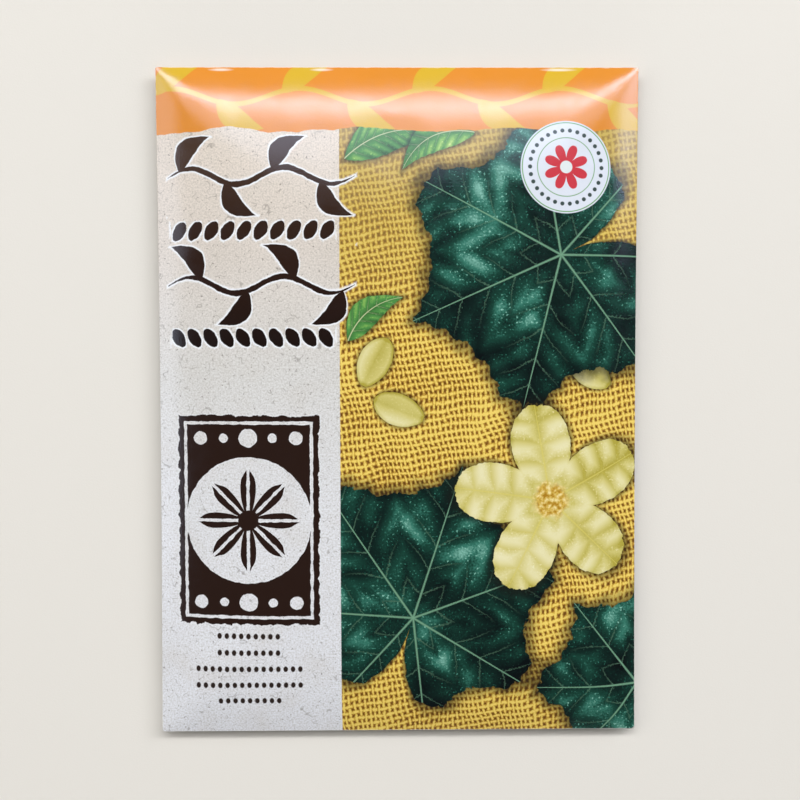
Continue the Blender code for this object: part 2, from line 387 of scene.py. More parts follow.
def ornamentRow(tree, spot, row):
    # a row of tilted blades, turned over by turns, on an optional wavy stem
    x, y = addNode(tree, "SeparateXYZ", localPlace(tree, spot, row["middle"], 0)).outputs[:2]
    cells = addNode(tree, "Math.DIVIDE", x, row["pitch"])
    cell = addNode(tree, "Math.FLOOR", cells)
    part = addNode(tree, "Math.SUBTRACT", addNode(tree, "Math.SUBTRACT", cells, cell), 0.5)
    partMm = addNode(tree, "Math.MULTIPLY", part, row["pitch"])
    flip = addNode(tree, "Math.MULTIPLY_ADD", addNode(tree, "Math.PINGPONG", cell, 1.0), -2.0 * row["flip"], 1.0)
    together = addNode(tree, "CombineXYZ", partMm, addNode(tree, "Math.MULTIPLY", y, flip))
    depth = bladeShape(tree, together, row)[2]
    ends = addNode(tree, "Math.SUBTRACT", row["width"] / 2, addNode(tree, "Math.ABSOLUTE", x))
    if row["stem"]:
        phase = addNode(tree, "Math.SINE", addNode(tree, "Math.MULTIPLY", x, math.pi / row["pitch"]))
        wave = addNode(tree, "Math.MULTIPLY_ADD", phase, -row["sway"], y)
        halfWide = addNode(tree, "MapRange", ends, 0.0, 6.0, 0.1, row["stem"])      # thinner towards the row's ends
        stem = addNode(tree, "Math.SUBTRACT", halfWide, addNode(tree, "Math.ABSOLUTE", wave))
        depth = addNode(tree, "Math.MAXIMUM", depth, stem)
    return addNode(tree, "Math.MINIMUM", depth, ends)


def boxDepth(tree, spot, place, width, height):
    local = addNode(tree, "VectorMath.ABSOLUTE", localPlace(tree, spot, place, 0))
    left = addNode(tree, "VectorMath.SUBTRACT", (width / 2, height / 2, 0), local)
    return addNode(tree, "Math.MINIMUM", *addNode(tree, "SeparateXYZ", left).outputs[:2])


def ringDepth(tree, radius, middle, halfWide):
    away = addNode(tree, "Math.ABSOLUTE", addNode(tree, "Math.SUBTRACT", radius, middle))
    return addNode(tree, "Math.SUBTRACT", halfWide, away)


def fineNoise(tree, spot, featureMm, detail, low=0.0, high=1.0):
    # noise with features of a real size, spread from low to high
    noiseNode = addNode(tree, "TexNoise", {"Vector": spot, "Scale": 1 / featureMm, "Detail": detail})
    return addNode(tree, "MapRange", noiseNode, 0.25, 0.75, low, high)


# places and sizes on the print are in millimetres from the packet's middle
frontPrint = {
    "bandAt": 46.4,                   # lower edge of the orange band, torn-looking
    "tearSwing": 1.4, "tearScale": 0.11, "tearStep": 11.0, "tearSlant": 0.09,
    "splitAt": -9.8,                  # where the plain panel meets the picture
    "blurFrom": 12.0, "blurTo": 44.0, "blurMost": 0.62, "blurInk": "#a8924f",      # the weave blurs away to khaki
    "shadowInk": "#14160e",
    "panelFrom": -57.0, "panelTo": 46.0,      # the panel turns from cool to warm upward: a painted tint of cool light on its lower part and warm light at its top
    "panelTonesAndLightTint": [(0.0, "#e5e9f2"), (0.4, "#e1e4ea"), (0.6, "#dadbdb"), (0.8, "#dcd5ce"), (1.0, "#e2d8cd")],
    "bandTones": [(0.0, "#da8b30"), (1.0, "#d5882a")],
    "bandYellow": "#d0ab30",
    "inkTones": [(0.0, "#180a02"), (0.35, "#281508"), (0.65, "#2f1c0e"), (1.0, "#432f20")],
    "inkFrom": 10.0, "inkTo": 42.0, "inkHalo": "#eef3fa",      # the brown ornaments pale upward
}
darkGreens = [(0.0, "#020807"), (0.3, "#08221b"), (0.55, "#143f33"), (0.75, "#357565"), (1.0, "#84bdae")]
lightGreens = [(0.0, "#2b5227"), (0.45, "#4e8d46"), (0.8, "#8aba5c"), (1.0, "#c2d985")]
creams = [(0.0, "#aba03f"), (0.25, "#cbc275"), (0.55, "#ddd7a2"), (1.0, "#ebe8c8")]
straws = [(0.25, "#6d4819"), (0.6, "#ab8033"), (0.84, "#cfac46"), (1.0, "#ead06a")]

lobedLeaf = [(0, 1.0), (0.14, 0.80), (0.28, 0.95), (0.42, 0.72), (0.56, 0.82), (0.70, 0.60), (0.83, 0.62),
             (0.95, 0.34), (1, 0.10)]
slimBlade = [(0, 0.0), (0.08, 0.09), (0.3, 0.2), (0.55, 0.19), (0.8, 0.1), (1, 0.0)]
roundPetal = [(0, 1.0), (0.25, 0.97), (0.5, 0.86), (0.75, 0.68), (1, 0.46)]
seedBlade = [(0, 0.05), (0.1, 0.16), (0.45, 0.3), (0.8, 0.24), (0.95, 0.12), (1, 0.0)]

bigLeaf = {"profile": lobedLeaf, "fan": 52, "slope": 0.9, "veinGap": 4.6, "tooth": 0.35, "ripple": 0.9,
           "mottle": 0.85, "pillow": 0.32, "sided": 0.18, "rim": 1.6, "rimTone": -0.18, "tones": darkGreens,
           "vein": 0.28, "veinInk": "#6f9c80", "veinShow": 0.75, "shadow": 3.2}
smallLeaf = {"profile": slimBlade, "bend": 0.15, "slope": 1.0, "veinGap": 1.9, "tooth": 0.1, "ripple": 0.2,
             "mottle": 0.6, "pillow": 0.45, "sided": 0.8, "rim": 0.5, "rimTone": -0.1, "tones": lightGreens,
             "vein": 0.16, "veinInk": "#d5dcae", "veinShow": 0.6, "shadow": 1.2}
looseSeed = {"profile": seedBlade, "bend": 0.02, "slope": 0.0, "veinGap": 40.0, "tooth": 0.0, "ripple": 0.1,
             "mottle": 0.3, "pillow": 4.0, "sided": 0.5, "rim": 0.7, "rimTone": -0.35, "tones": creams, "vein": 0.0,
             "veinInk": "#ffffff", "veinShow": 0.0, "shadow": 1.0}
blossom = {"profile": roundPetal, "fan": 72, "petals": 5, "slope": 0.5, "veinGap": 3.4, "tooth": 0.04,
           "ripple": 0.7, "mottle": 0.4, "pillow": 0.45, "sided": 0.1, "rim": 1.6, "rimTone": -0.16, "tones": creams,
           "vein": 0.3, "veinInk": "#d6cb6d", "veinShow": 0.45, "shadow": 2.6}
blossomHeart = {"middle": (25.8, -16.5, 0), "radius": 3.4, "ragged": 1.6, "grainMm": 0.7,
                "tones": [(0.2, "#a87c20"), (0.5, "#cfae4e"), (0.85, "#eadb9c")]}
pictureLayers = [
    dict(smallLeaf, place=(-9.0, 41.0), angle=14, length=17.0),
    dict(smallLeaf, place=(13.0, 45.5), angle=-152, length=14.0, bend=-0.2),
    dict(smallLeaf, place=(-8.5, 10.5), angle=38, length=12.0),
    dict(looseSeed, place=(-6.0, 3.0), angle=62, length=9.0),
    dict(looseSeed, place=(4.2, -2.6), angle=158, length=9.0),
    dict(looseSeed, place=(36.0, 2.8), angle=140, length=9.0),
    dict(bigLeaf, place=(41.5, -49.0), angle=128, length=19.0),
    dict(bigLeaf, place=(2.4, -36.5), angle=72, length=27.0),
    dict(bigLeaf, place=(27.5, 25.0), angle=204, length=28.0, sided=-0.18),
    dict(blossom, place=(25.8, -16.5), angle=100, length=16.5),
]
stemmedRow = {"profile": slimBlade, "bend": 0.2, "stem": 0.55, "sway": 1.4, "flip": 1, "pitch": 8.0}
seedRow = {"profile": seedBlade, "bend": 0.0, "stem": 0, "flip": 0, "pitch": 2.8, "place": (-0.8, -1.4),
           "angle": 58, "length": 3.6}
panelRows = [
    dict(stemmedRow, middle=(-23.1, 38.2), width=32.0, place=(-2.0, 0.9), angle=46, length=8.0),
    dict(seedRow, middle=(-24.6, 29.0), width=28.0),
    dict(stemmedRow, middle=(-23.2, 20.0), width=32.0, place=(2.0, 0.9), angle=134, length=8.0, bend=-0.2),
    dict(seedRow, middle=(-24.6, 11.0), width=28.0, angle=122, place=(0.8, -1.4)),
]
bandRow = {"profile": slimBlade, "bend": 0.12, "stem": 0.5, "sway": 1.4, "flip": 1, "pitch": 11.0,
           "middle": (0.0, 51.8), "width": 88.0, "place": (-3.0, 0.6), "angle": 32, "length": 9.6}


weave = {"pitch": (0.85, 1.2, 1), "turn": 9, "drift": 1.6, "under": 0.78, "fuzz": 0.5, "patches": 0.35}


def wovenGround(tree, spot, gloss, speck):
    # open plain weave of loosely laid straw yarn with narrow brown gaps
    drift = addNode(tree, "VectorMath.SCALE", {0: addNode(tree, "CombineXYZ", gloss, gloss), "Scale": weave["drift"]})
    loose = addNode(tree, "VectorMath.ADD", spot, drift)
    turned = addNode(tree, "Mapping", loose, (0, 0, 0), (0, 0, math.radians(weave["turn"])), weave["pitch"],
                     vector_type="TEXTURE")
    yarns = addNode(tree, "SeparateXYZ", turned).outputs[:2]
    waves = [addNode(tree, "Math.SINE", addNode(tree, "Math.MULTIPLY", yarn, math.pi)) for yarn in yarns]
    humps = [addNode(tree, "Math.POWER", wave, 2.0) for wave in waves]
    cells = addNode(tree, "Math.ADD", *[addNode(tree, "Math.FLOOR", yarn) for yarn in yarns])
    over = addNode(tree, "Math.PINGPONG", cells, 1.0)
    top = addNode(tree, "Mix", {0: over, 2: humps[0], 3: humps[1]})
    under = addNode(tree, "Mix", {0: over, 2: humps[1], 3: humps[0]})
    height = addNode(tree, "Math.MAXIMUM", top, addNode(tree, "Math.MULTIPLY", under, weave["under"]))
    fuzzy = addNode(tree, "Math.MULTIPLY_ADD", speck, weave["fuzz"], height)
    patchy = addNode(tree, "Math.MULTIPLY_ADD", gloss, weave["patches"], fuzzy)
    return addNode(tree, "ValToRGB", patchy, stops=straws)


def printOrnaments(tree, spot, y, under, grain):
    # the panel's brown ornaments, each with a pale halo
    depth = None
    for row in panelRows:
        rowDepth = ornamentRow(tree, spot, row)
        depth = addNode(tree, "Math.MAXIMUM", depth, rowDepth) if depth else rowDepth
    depth = addNode(tree, "Math.MULTIPLY_ADD", grain, 0.25, depth)
    run = addNode(tree, "MapRange", y, frontPrint["inkFrom"], frontPrint["inkTo"])
    ink = addNode(tree, "ValToRGB", run, stops=frontPrint["inkTones"])
    halo = inkMask(tree, addNode(tree, "Math.ADD", depth, 0.42), 0.2)
    haloed = overprint(tree, under, halo, frontPrint["inkHalo"])
    return overprint(tree, haloed, inkMask(tree, depth), ink)


tile = {
    "middle": (-25.5, -19.8), "width": 24.2, "height": 35.7,
    "ragged": 0.7,                    # how far the block's cut edge wanders
    "window": 10.7,                   # radius of the pale round
    "border": (1.3, 0.2),             # inset and half width of the thin pale line
    "dots": [((8.2, 14.0, 0), 1.1), ((0, 14.0, 0), 1.5), ((4.2, 14.0, 0), 0.7)],      # mirrored both ways
    "midribs": 0.2, "eye": 1.8,       # half width of the petals' pale midribs, and where they start
    "rosette": {"place": (-25.5, -19.8), "angle": 90, "length": 9.4, "fan": 45, "petals": 8,
                "profile": [(0, 1.0), (0.12, 0.9), (0.45, 0.74), (0.75, 0.45), (1, 0.2)]},
    "halo": "#e6e9ee", "ink": "#26150b",
}


def printTile(tree, spot, under, grain, stock):
    # a dark block, as cut in wood: a pale round window with a dark rosette, a thin border and corner dots
    block = boxDepth(tree, spot, tile["middle"], tile["width"], tile["height"])
    rough = addNode(tree, "Math.MULTIPLY_ADD", grain, tile["ragged"], block)
    haloed = overprint(tree, under, inkMask(tree, addNode(tree, "Math.ADD", rough, 0.3), 0.25), tile["halo"])
    along, aside, inside, _ = fanShape(tree, spot, tile["rosette"])
    midrib = addNode(tree, "Math.MAXIMUM", addNode(tree, "Math.SUBTRACT", aside, tile["midribs"]),
                     addNode(tree, "Math.SUBTRACT", tile["eye"], along))
    petals = addNode(tree, "Math.MINIMUM", inside, midrib)
    pale = addNode(tree, "Math.MINIMUM", addNode(tree, "Math.SUBTRACT", tile["window"], along),
                   addNode(tree, "Math.MULTIPLY", petals, -1.0))
    pale = addNode(tree, "Math.MAXIMUM", pale, ringDepth(tree, block, *tile["border"]))
    corners = addNode(tree, "VectorMath.ABSOLUTE", localPlace(tree, spot, tile["middle"], 0))
    for place, radius in tile["dots"]:
        away = addNode(tree, "VectorMath.DISTANCE", corners, place).outputs[1]
        pale = addNode(tree, "Math.MAXIMUM", pale, addNode(tree, "Math.SUBTRACT", radius, away))
    ragged = addNode(tree, "Math.MULTIPLY_ADD", grain, 0.25, pale)
    cut = addNode(tree, "Math.MINIMUM", rough, addNode(tree, "Math.MULTIPLY", ragged, -1.0))
    printed = overprint(tree, haloed, inkMask(tree, pale), stock)
    return overprint(tree, printed, inkMask(tree, cut), tile["ink"])


dotLines = {
    "middle": -25.625, "foot": -52.6, "step": 2.88,
    "halfWidths": (5.625, 9.375, 9.375, 5.625, 5.625),      # from the lowest line up
    "widest": 10.0,
    "pitch": 1.25, "dotWide": 0.44, "dotTall": 0.576,       # half measures of a dot
    "ink": "#2c211a",
}


def printDotLines(tree, spot, x, y, under):
    # centred lines of little dots below the tile
    count = len(dotLines["halfWidths"])
    lines = addNode(tree, "Math.DIVIDE", addNode(tree, "Math.SUBTRACT", y, dotLines["foot"]), dotLines["step"])
    line = addNode(tree, "Math.FLOOR", lines)
    up = addNode(tree, "Math.SUBTRACT", addNode(tree, "Math.SUBTRACT", lines, line), 0.5)
    steps = addNode(tree, "Math.DIVIDE", x, dotLines["pitch"])
    part = addNode(tree, "Math.SUBTRACT", steps, addNode(tree, "Math.FLOOR", steps))
    beside = addNode(tree, "Math.SUBTRACT", part, 0.5)
    upMm = addNode(tree, "Math.MULTIPLY", up, dotLines["step"] * dotLines["dotWide"] / dotLines["dotTall"])
    fromDot = addNode(tree, "CombineXYZ", addNode(tree, "Math.MULTIPLY", beside, dotLines["pitch"]), upMm)
    away = addNode(tree, "VectorMath.LENGTH", fromDot).outputs[1]
    shares = [(k / count, width / dotLines["widest"]) for k, width in enumerate(dotLines["halfWidths"])]
    share = addNode(tree, "FloatCurve", {1: addNode(tree, "Math.DIVIDE", line, count)}, profile=shares + [(1, 0)])
    halfWidth = addNode(tree, "Math.MULTIPLY", share, dotLines["widest"])
    fromMiddle = addNode(tree, "Math.ABSOLUTE", addNode(tree, "Math.SUBTRACT", x, dotLines["middle"]))
    ends = addNode(tree, "Math.SUBTRACT", halfWidth, fromMiddle)
    depth = addNode(tree, "Math.MINIMUM", addNode(tree, "Math.SUBTRACT", dotLines["dotWide"], away), ends)
    depth = addNode(tree, "Math.MINIMUM", depth, lines)      # nothing below the foot
    return overprint(tree, under, inkMask(tree, depth), dotLines["ink"])


badge = {
    "middle": (28.3, 39.7), "radius": 7.8,
    "rings": ((0.35, 0.14), (2.9, 0.12)),      # inset and half width
    "dotCount": 30, "dotInset": 1.65, "dotRadius": 0.4, "eyeRadius": 1.1,
    "flower": {"place": (28.3, 39.7), "angle": 22.5, "length": 3.9, "fan": 45, "petals": 8,
               "profile": [(0, 1.0), (0.35, 0.95), (0.7, 0.75), (1, 0.4)]},
    "white": "#d6ddea", "ringInk": "#6a9f63", "dotInk": "#3c4a48", "flowerInk": "#c63a45", "eyeInk": "#dae3e7",
}


def printBadge(tree, spot, under):
    # a round white badge: green rings, a ring of dark dots and a red flower
    local = localPlace(tree, spot, badge["middle"], 0)
    x, y = addNode(tree, "SeparateXYZ", local).outputs[:2]
    radius = addNode(tree, "VectorMath.LENGTH", local).outputs[1]
    turn = addNode(tree, "Math.ARCTAN2", y, x)
    disk = addNode(tree, "Math.SUBTRACT", badge["radius"], radius)
    white = overprint(tree, under, inkMask(tree, disk), badge["white"])
    rings = addNode(tree, "Math.MAXIMUM", *[ringDepth(tree, radius, badge["radius"] - inset, halfWide)
                                            for inset, halfWide in badge["rings"]])
    ringed = overprint(tree, white, inkMask(tree, rings), badge["ringInk"])
    positive = addNode(tree, "Math.ADD", turn, 10 * math.pi)
    dotTurn = addNode(tree, "Math.PINGPONG", positive, math.pi / badge["dotCount"])
    fromDot = addNode(tree, "CombineXYZ", addNode(tree, "Math.MULTIPLY", dotTurn, radius),
                      addNode(tree, "Math.SUBTRACT", radius, badge["radius"] - badge["dotInset"]))
    away = addNode(tree, "VectorMath.LENGTH", fromDot).outputs[1]
    dots = addNode(tree, "Math.SUBTRACT", badge["dotRadius"], away)
    dotted = overprint(tree, ringed, inkMask(tree, dots), badge["dotInk"])
    along, _, inside, _ = fanShape(tree, spot, badge["flower"])
    flowered = overprint(tree, dotted, inkMask(tree, inside), badge["flowerInk"])
    eye = addNode(tree, "Math.SUBTRACT", badge["eyeRadius"], along)
    return overprint(tree, flowered, inkMask(tree, eye), badge["eyeInk"])


# clouds and tooth: size in mm, detail, and strength at the noise's low and high end
paperStock = {
    "clouds": (7.0, 2, -0.2, 0.25), "cloudTone": "#c9c3bb",
    "tooth": (0.3, 3, -0.2, 0.56), "toothTone": "#9c978f",      # coarser than real fibres, so that it shows
    "fleckMm": 0.5, "fleckFrom": 0.82, "fleckShow": 0.6, "fleckTone": "#5b534c",
    "strandMm": 2.4, "strandWide": 0.04, "strandShow": 0.5, "strandTone": "#5f574f",
}


def stockTones(tree, spot, y):
    # recycled-looking stock: a soft warm grey with brown fibre flecks and a few long strands, tinted from cool below
    # to warm above as painted light
    run = addNode(tree, "MapRange", y, frontPrint["panelFrom"], frontPrint["panelTo"])
    # painted light: the stock is tinted cool at the foot and warm at the top, on the front and on the back
    plain = addNode(tree, "ValToRGB", run, stops=frontPrint["panelTonesAndLightTint"])
    clouded = overprint(tree, plain, fineNoise(tree, spot, *paperStock["clouds"]), paperStock["cloudTone"])
    toothed = overprint(tree, clouded, fineNoise(tree, spot, *paperStock["tooth"]), paperStock["toothTone"])
    speckle = fineNoise(tree, spot, paperStock["fleckMm"], 1)
    flecks = addNode(tree, "MapRange", speckle, paperStock["fleckFrom"], 1.0, 0.0, paperStock["fleckShow"])
    flecked = overprint(tree, toothed, flecks, paperStock["fleckTone"])
    level = addNode(tree, "Math.SUBTRACT", fineNoise(tree, spot, paperStock["strandMm"], 1), 0.5)
    hair = addNode(tree, "MapRange", addNode(tree, "Math.ABSOLUTE", level), paperStock["strandWide"], 0.0)
    elsewhere = addNode(tree, "VectorMath.ADD", spot, (70, 0, 0))      # other noise keeps only some stretches
    kept = addNode(tree, "MapRange", fineNoise(tree, elsewhere, 1.7, 1), 0.58, 0.75, 0.0, paperStock["strandShow"])
    return overprint(tree, flecked, addNode(tree, "Math.MULTIPLY", hair, kept), paperStock["strandTone"])


wearAndHighlights = {
    # bare paper at the cracks and tips, and the same pale colour for the painted highlights on the top fold
    "crackWide": 0.1, "crackShow": 0.4,                         # along every fold
    "tipFrom": 0.5, "tipTo": 0.2, "tipShow": 0.6,               # on the corner tips
    "foldHighlights": ((-30.0, 2.4), (-12.9, 2.2), (27.4, 3.4)),          # painted highlights where the top fold catches light: place along it and half length
    "highlightInset": 0.45, "highlightTall": 0.34, "highlightShow": 0.7,
    "bareAndHighlight": "#efece7",
}


def foldWearAndHighlights(tree, x, y, under, grain):
    # coating cracked to white along the folds and rubbed off at the corner tips, and short painted highlights along
    # the top fold where it catches light
    sides = addNode(tree, "Math.SUBTRACT", 1000 * halfW, addNode(tree, "Math.ABSOLUTE", x))
    ends = addNode(tree, "Math.SUBTRACT", 1000 * halfH, addNode(tree, "Math.ABSOLUTE", y))
    nearest = addNode(tree, "Math.MINIMUM", sides, ends)
    cracked = addNode(tree, "Math.MULTIPLY_ADD", grain, 0.2, nearest)
    lines = addNode(tree, "MapRange", cracked, wearAndHighlights["crackWide"], 0.0, 0.0, wearAndHighlights["crackShow"])
    corner = addNode(tree, "Math.MULTIPLY_ADD", grain, 0.8, addNode(tree, "Math.ADD", sides, ends))
    tips = addNode(tree, "MapRange", corner, wearAndHighlights["tipFrom"], wearAndHighlights["tipTo"], 0.0, wearAndHighlights["tipShow"])
    wearAndHighlightMask = addNode(tree, "Math.MAXIMUM", lines, tips)
    # painted highlights: short pale streaks just below the top fold, where it catches light
    belowMm = addNode(tree, "Math.SUBTRACT", 1000 * halfH - wearAndHighlights["highlightInset"], y)
    below = addNode(tree, "Math.DIVIDE", belowMm, wearAndHighlights["highlightTall"])
    for place, reach in wearAndHighlights["foldHighlights"]:
        beside = addNode(tree, "Math.DIVIDE", addNode(tree, "Math.SUBTRACT", x, place), reach)
        away = addNode(tree, "VectorMath.LENGTH", addNode(tree, "CombineXYZ", beside, below)).outputs[1]
        wearAndHighlightMask = addNode(tree, "Math.MAXIMUM", wearAndHighlightMask, addNode(tree, "MapRange", away, 1.0, 0.3, 0.0, wearAndHighlights["highlightShow"]))
    return overprint(tree, under, wearAndHighlightMask, wearAndHighlights["bareAndHighlight"])


coating = {"IOR": 1.65, "Specular_Tint": linearFromHex("#d0dfff")}      # dense gloss coat with a cool sheen


def finishPaper(tree, shader, spot, color, roughness):
    # a faint fibre tooth, drawn coarser than real fibres so that it shows, and uneven gloss
    tree.links.new(color, shader.inputs["Base Color"])
    fibre = fineNoise(tree, spot, 0.28, 1)
    bump = addNode(tree, "Bump", {"Strength": 0.25, "Distance": 0.00003, "Height": fibre})
    tree.links.new(bump.outputs[0], shader.inputs["Normal"])
    gloss = fineNoise(tree, spot, 2.5, 2, roughness - 0.03, roughness + 0.04)
    tree.links.new(gloss.outputs[0], shader.inputs["Roughness"])


def frontMaterial():
    # offset-printed paper with a thin gloss coating: rich inks under a soft, broad highlight
    material, tree, shader, spot = startMaterial("gloss_coated_offset_print", **coating)
    x, y = addNode(tree, "SeparateXYZ", spot).outputs[:2]
    grain = fineNoise(tree, spot, 1.4, 3, -0.5, 0.5)
    gloss = fineNoise(tree, spot, 10.0, 2, -0.1, 0.85)
    speck = fineNoise(tree, spot, 0.35, 2, -0.5, 0.5)
    blur = addNode(tree, "MapRange", y, frontPrint["blurFrom"], frontPrint["blurTo"], 0.0, frontPrint["blurMost"])
    picture = overprint(tree, wovenGround(tree, spot, gloss, speck), blur, frontPrint["blurInk"])
    glints = addNode(tree, "MapRange", fineNoise(tree, spot, 0.42, 0), 0.86, 1.0, 0.0, 0.3)
    sparkling = addNode(tree, "Math.ADD", addNode(tree, "Math.MULTIPLY_ADD", speck, 0.22, gloss), glints)
    for layer in pictureLayers:
        picture = printLeaf(tree, spot, picture, layer, grain, sparkling)
    fromHeart = addNode(tree, "VectorMath.DISTANCE", spot, blossomHeart["middle"]).outputs[1]
    heart = addNode(tree, "Math.MULTIPLY_ADD", grain, blossomHeart["ragged"],
                    addNode(tree, "Math.SUBTRACT", blossomHeart["radius"], fromHeart))
    stamens = addNode(tree, "ValToRGB", fineNoise(tree, spot, blossomHeart["grainMm"], 2),
                      stops=blossomHeart["tones"])
    picture = overprint(tree, picture, inkMask(tree, heart, 0.5), stamens)
    panel = inkMask(tree, addNode(tree, "Math.SUBTRACT", frontPrint["splitAt"], x))
    stock = stockTones(tree, spot, y)
    ground = overprint(tree, picture, panel, stock)
    ground = printOrnaments(tree, spot, y, ground, grain)
    ground = printTile(tree, spot, ground, grain, stock)
    ground = printDotLines(tree, spot, x, y, ground)
    waves = addNode(tree, "TexNoise", {"Vector": addNode(tree, "CombineXYZ", x), "Scale": frontPrint["tearScale"],
                                      "Detail": 4.0})
    swing = addNode(tree, "MapRange", waves, 0.0, 1.0, -frontPrint["tearSwing"], frontPrint["tearSwing"])
    zigzag = addNode(tree, "Math.PINGPONG", addNode(tree, "Math.ADD", x, 50.0), frontPrint["tearStep"])
    torn = addNode(tree, "Math.MULTIPLY_ADD", zigzag, frontPrint["tearSlant"], swing)
    bandDepth = addNode(tree, "Math.ADD", torn, addNode(tree, "Math.SUBTRACT", y, frontPrint["bandAt"]))
    band = addNode(tree, "ValToRGB", fineNoise(tree, spot, 12.0, 2), stops=frontPrint["bandTones"])
    leafy = overprint(tree, band, inkMask(tree, ornamentRow(tree, spot, bandRow)), frontPrint["bandYellow"])
    banded = overprint(tree, ground, inkMask(tree, bandDepth), leafy)
    printed = printBadge(tree, spot, banded)
    finishPaper(tree, shader, spot, foldWearAndHighlights(tree, x, y, printed, grain), 0.17)
    return material


backPrint = {
    "chartAt": (-5.0, 12.0), "chartWidth": 54.0, "chartHeight": 16.0, "boxes": 6,
    "bars": ((0.0, 2, 1), (1.5, 3, -1)),      # middle and length in boxes, then upper or lower row
    "barGap": 1.6, "barTall": 6.4,
    "borderAt": (-5.0, -0.5), "borderWidth": 62.0, "borderHeight": 78.0,
    "ruledAt": (-5.0, -18.0), "ruledWidth": 54.0, "ruledHeight": 28.0, "ruledStep": 5.6,
    "row": dict(stemmedRow, middle=(-5.0, 30.0), width=48.0, place=(-2.0, 0.9), angle=46, length=8.0),
    "lineInk": "#3a2a1f", "barInk": "#7f9757",
}


def backMaterial():
    # the same stock on its outer back: brown lines and two pale green bars, under the same coating
    material, tree, shader, spot = startMaterial("gloss_coated_two_ink_print", **coating)
    x, y = addNode(tree, "SeparateXYZ", spot).outputs[:2]
    grain = fineNoise(tree, spot, 1.4, 3, -0.5, 0.5)
    color = stockTones(tree, spot, y)
    border = boxDepth(tree, spot, backPrint["borderAt"], backPrint["borderWidth"], backPrint["borderHeight"])
    inked = ringDepth(tree, border, 0.5, 0.2)
    row = ornamentRow(tree, spot, backPrint["row"])
    chart = boxDepth(tree, spot, backPrint["chartAt"], backPrint["chartWidth"], backPrint["chartHeight"])
    boxSize = backPrint["chartWidth"] / backPrint["boxes"]
    cells = addNode(tree, "SeparateXYZ", localPlace(tree, spot, backPrint["chartAt"], 0))
    toLine = [addNode(tree, "Math.PINGPONG", cells.outputs[k], step / 2)
              for k, step in ((0, boxSize), (1, backPrint["chartHeight"] / 2))]
    gridLine = addNode(tree, "Math.SUBTRACT", 0.16, addNode(tree, "Math.MINIMUM", *toLine))
    grid = addNode(tree, "Math.MINIMUM", gridLine, addNode(tree, "Math.ADD", chart, 0.16))
    chartX, chartY = backPrint["chartAt"]
    bars = [boxDepth(tree, spot, (chartX + boxSize * middle, chartY + side * backPrint["chartHeight"] / 4),
                     boxSize * count - backPrint["barGap"], backPrint["barTall"])
            for middle, count, side in backPrint["bars"]]
    ruledBox = boxDepth(tree, spot, backPrint["ruledAt"], backPrint["ruledWidth"], backPrint["ruledHeight"])
    toRule = addNode(tree, "Math.PINGPONG", addNode(tree, "Math.SUBTRACT", y, backPrint["ruledAt"][1]),
                     backPrint["ruledStep"] / 2)
    ruled = addNode(tree, "Math.MINIMUM", addNode(tree, "Math.SUBTRACT", 0.12, toRule), ruledBox)
    color = overprint(tree, color, inkMask(tree, addNode(tree, "Math.MAXIMUM", *bars)), backPrint["barInk"])
    for part in (row, grid, ruled):
        inked = addNode(tree, "Math.MAXIMUM", inked, part)
    rough = addNode(tree, "Math.MULTIPLY_ADD", grain, 0.08, inked)
    color = overprint(tree, color, inkMask(tree, rough), backPrint["lineInk"])
    finishPaper(tree, shader, spot, foldWearAndHighlights(tree, x, y, color, grain), 0.19)
    return material


def flapMaterial():
    # the top flap carries the front's orange over the fold
    material, tree, shader, spot = startMaterial("gloss_coated_flat_tint", **coating)
    x, y = addNode(tree, "SeparateXYZ", spot).outputs[:2]
    grain = fineNoise(tree, spot, 1.4, 3, -0.5, 0.5)
    band = addNode(tree, "ValToRGB", fineNoise(tree, spot, 12.0, 2), stops=frontPrint["bandTones"])
    finishPaper(tree, shader, spot, foldWearAndHighlights(tree, x, y, band, grain), 0.19)
    return material


def bareMaterial():
    # the uncoated inside and cut edges: soft white, no shine
    material, tree, shader, spot = startMaterial("uncoated_bleached_paper", IOR=1.45)
    color = addNode(tree, "ValToRGB", fineNoise(tree, spot, 0.8, 4), stops=[(0.3, "#dedad2"), (0.7, "#f0ede6")])
    finishPaper(tree, shader, spot, color.outputs[0], 0.85)
    return material


def glueMaterial():
    # dried paste in a thin film: yellowish, half clear, a low sheen
    material, tree, shader, spot = startMaterial("dried_starch_paste", IOR=1.46, Subsurface_Weight=0.2,
                                                 Subsurface_Scale=0.0002)
    color = addNode(tree, "ValToRGB", fineNoise(tree, spot, 1.2, 3), stops=[(0.3, "#cfc4a4"), (0.7, "#e6dec6")])
    finishPaper(tree, shader, spot, color.outputs[0], 0.5)
    return material


def seedMaterial():
    # dry squash seed coat: matt cream skin, streaked by its fibres
    material, tree, shader, spot = startMaterial("dry_seed_coat", (1000, 1000, 1000), IOR=1.46, Sheen_Weight=0.15)
    stretched = addNode(tree, "Mapping", spot, (0, 0, 0), (0, 0, 0.3), (0.6, 2.4, 1))
    skin = addNode(tree, "ValToRGB", fineNoise(tree, stretched, 0.9, 4),
                   stops=[(0.25, "#c5b384"), (0.5, "#dccfa4"), (0.75, "#ece4c6")])
    finishPaper(tree, shader, spot, skin.outputs[0], 0.55)
    return material


glue = {"film": 0.00003, "inset": 0.0025, "spacing": 0.002}


def glueFilm(name, columns, rows, placeOf, material, replaced):
    bm = gridMesh(columns, rows)
    for vert in bm.verts:
        x, y, z = placeOf(*gridPlace(vert, columns, rows))
        vert.co = (x, y, z + sheet["stuckStep"] / 2)
    return makePiece(name, bm, [material], glue["film"], "seam_glue", replaced)


def evenLines(start, end):
    count = max(2, round(abs(end - start) / glue["spacing"]))
    return [start + (end - start) * k / count for k in range(count + 1)]


packet = foldedSheet([frontMaterial(), backMaterial(), flapMaterial(), bareMaterial()])
print("sheet folded,", len(packet.data.polygons), "faces")

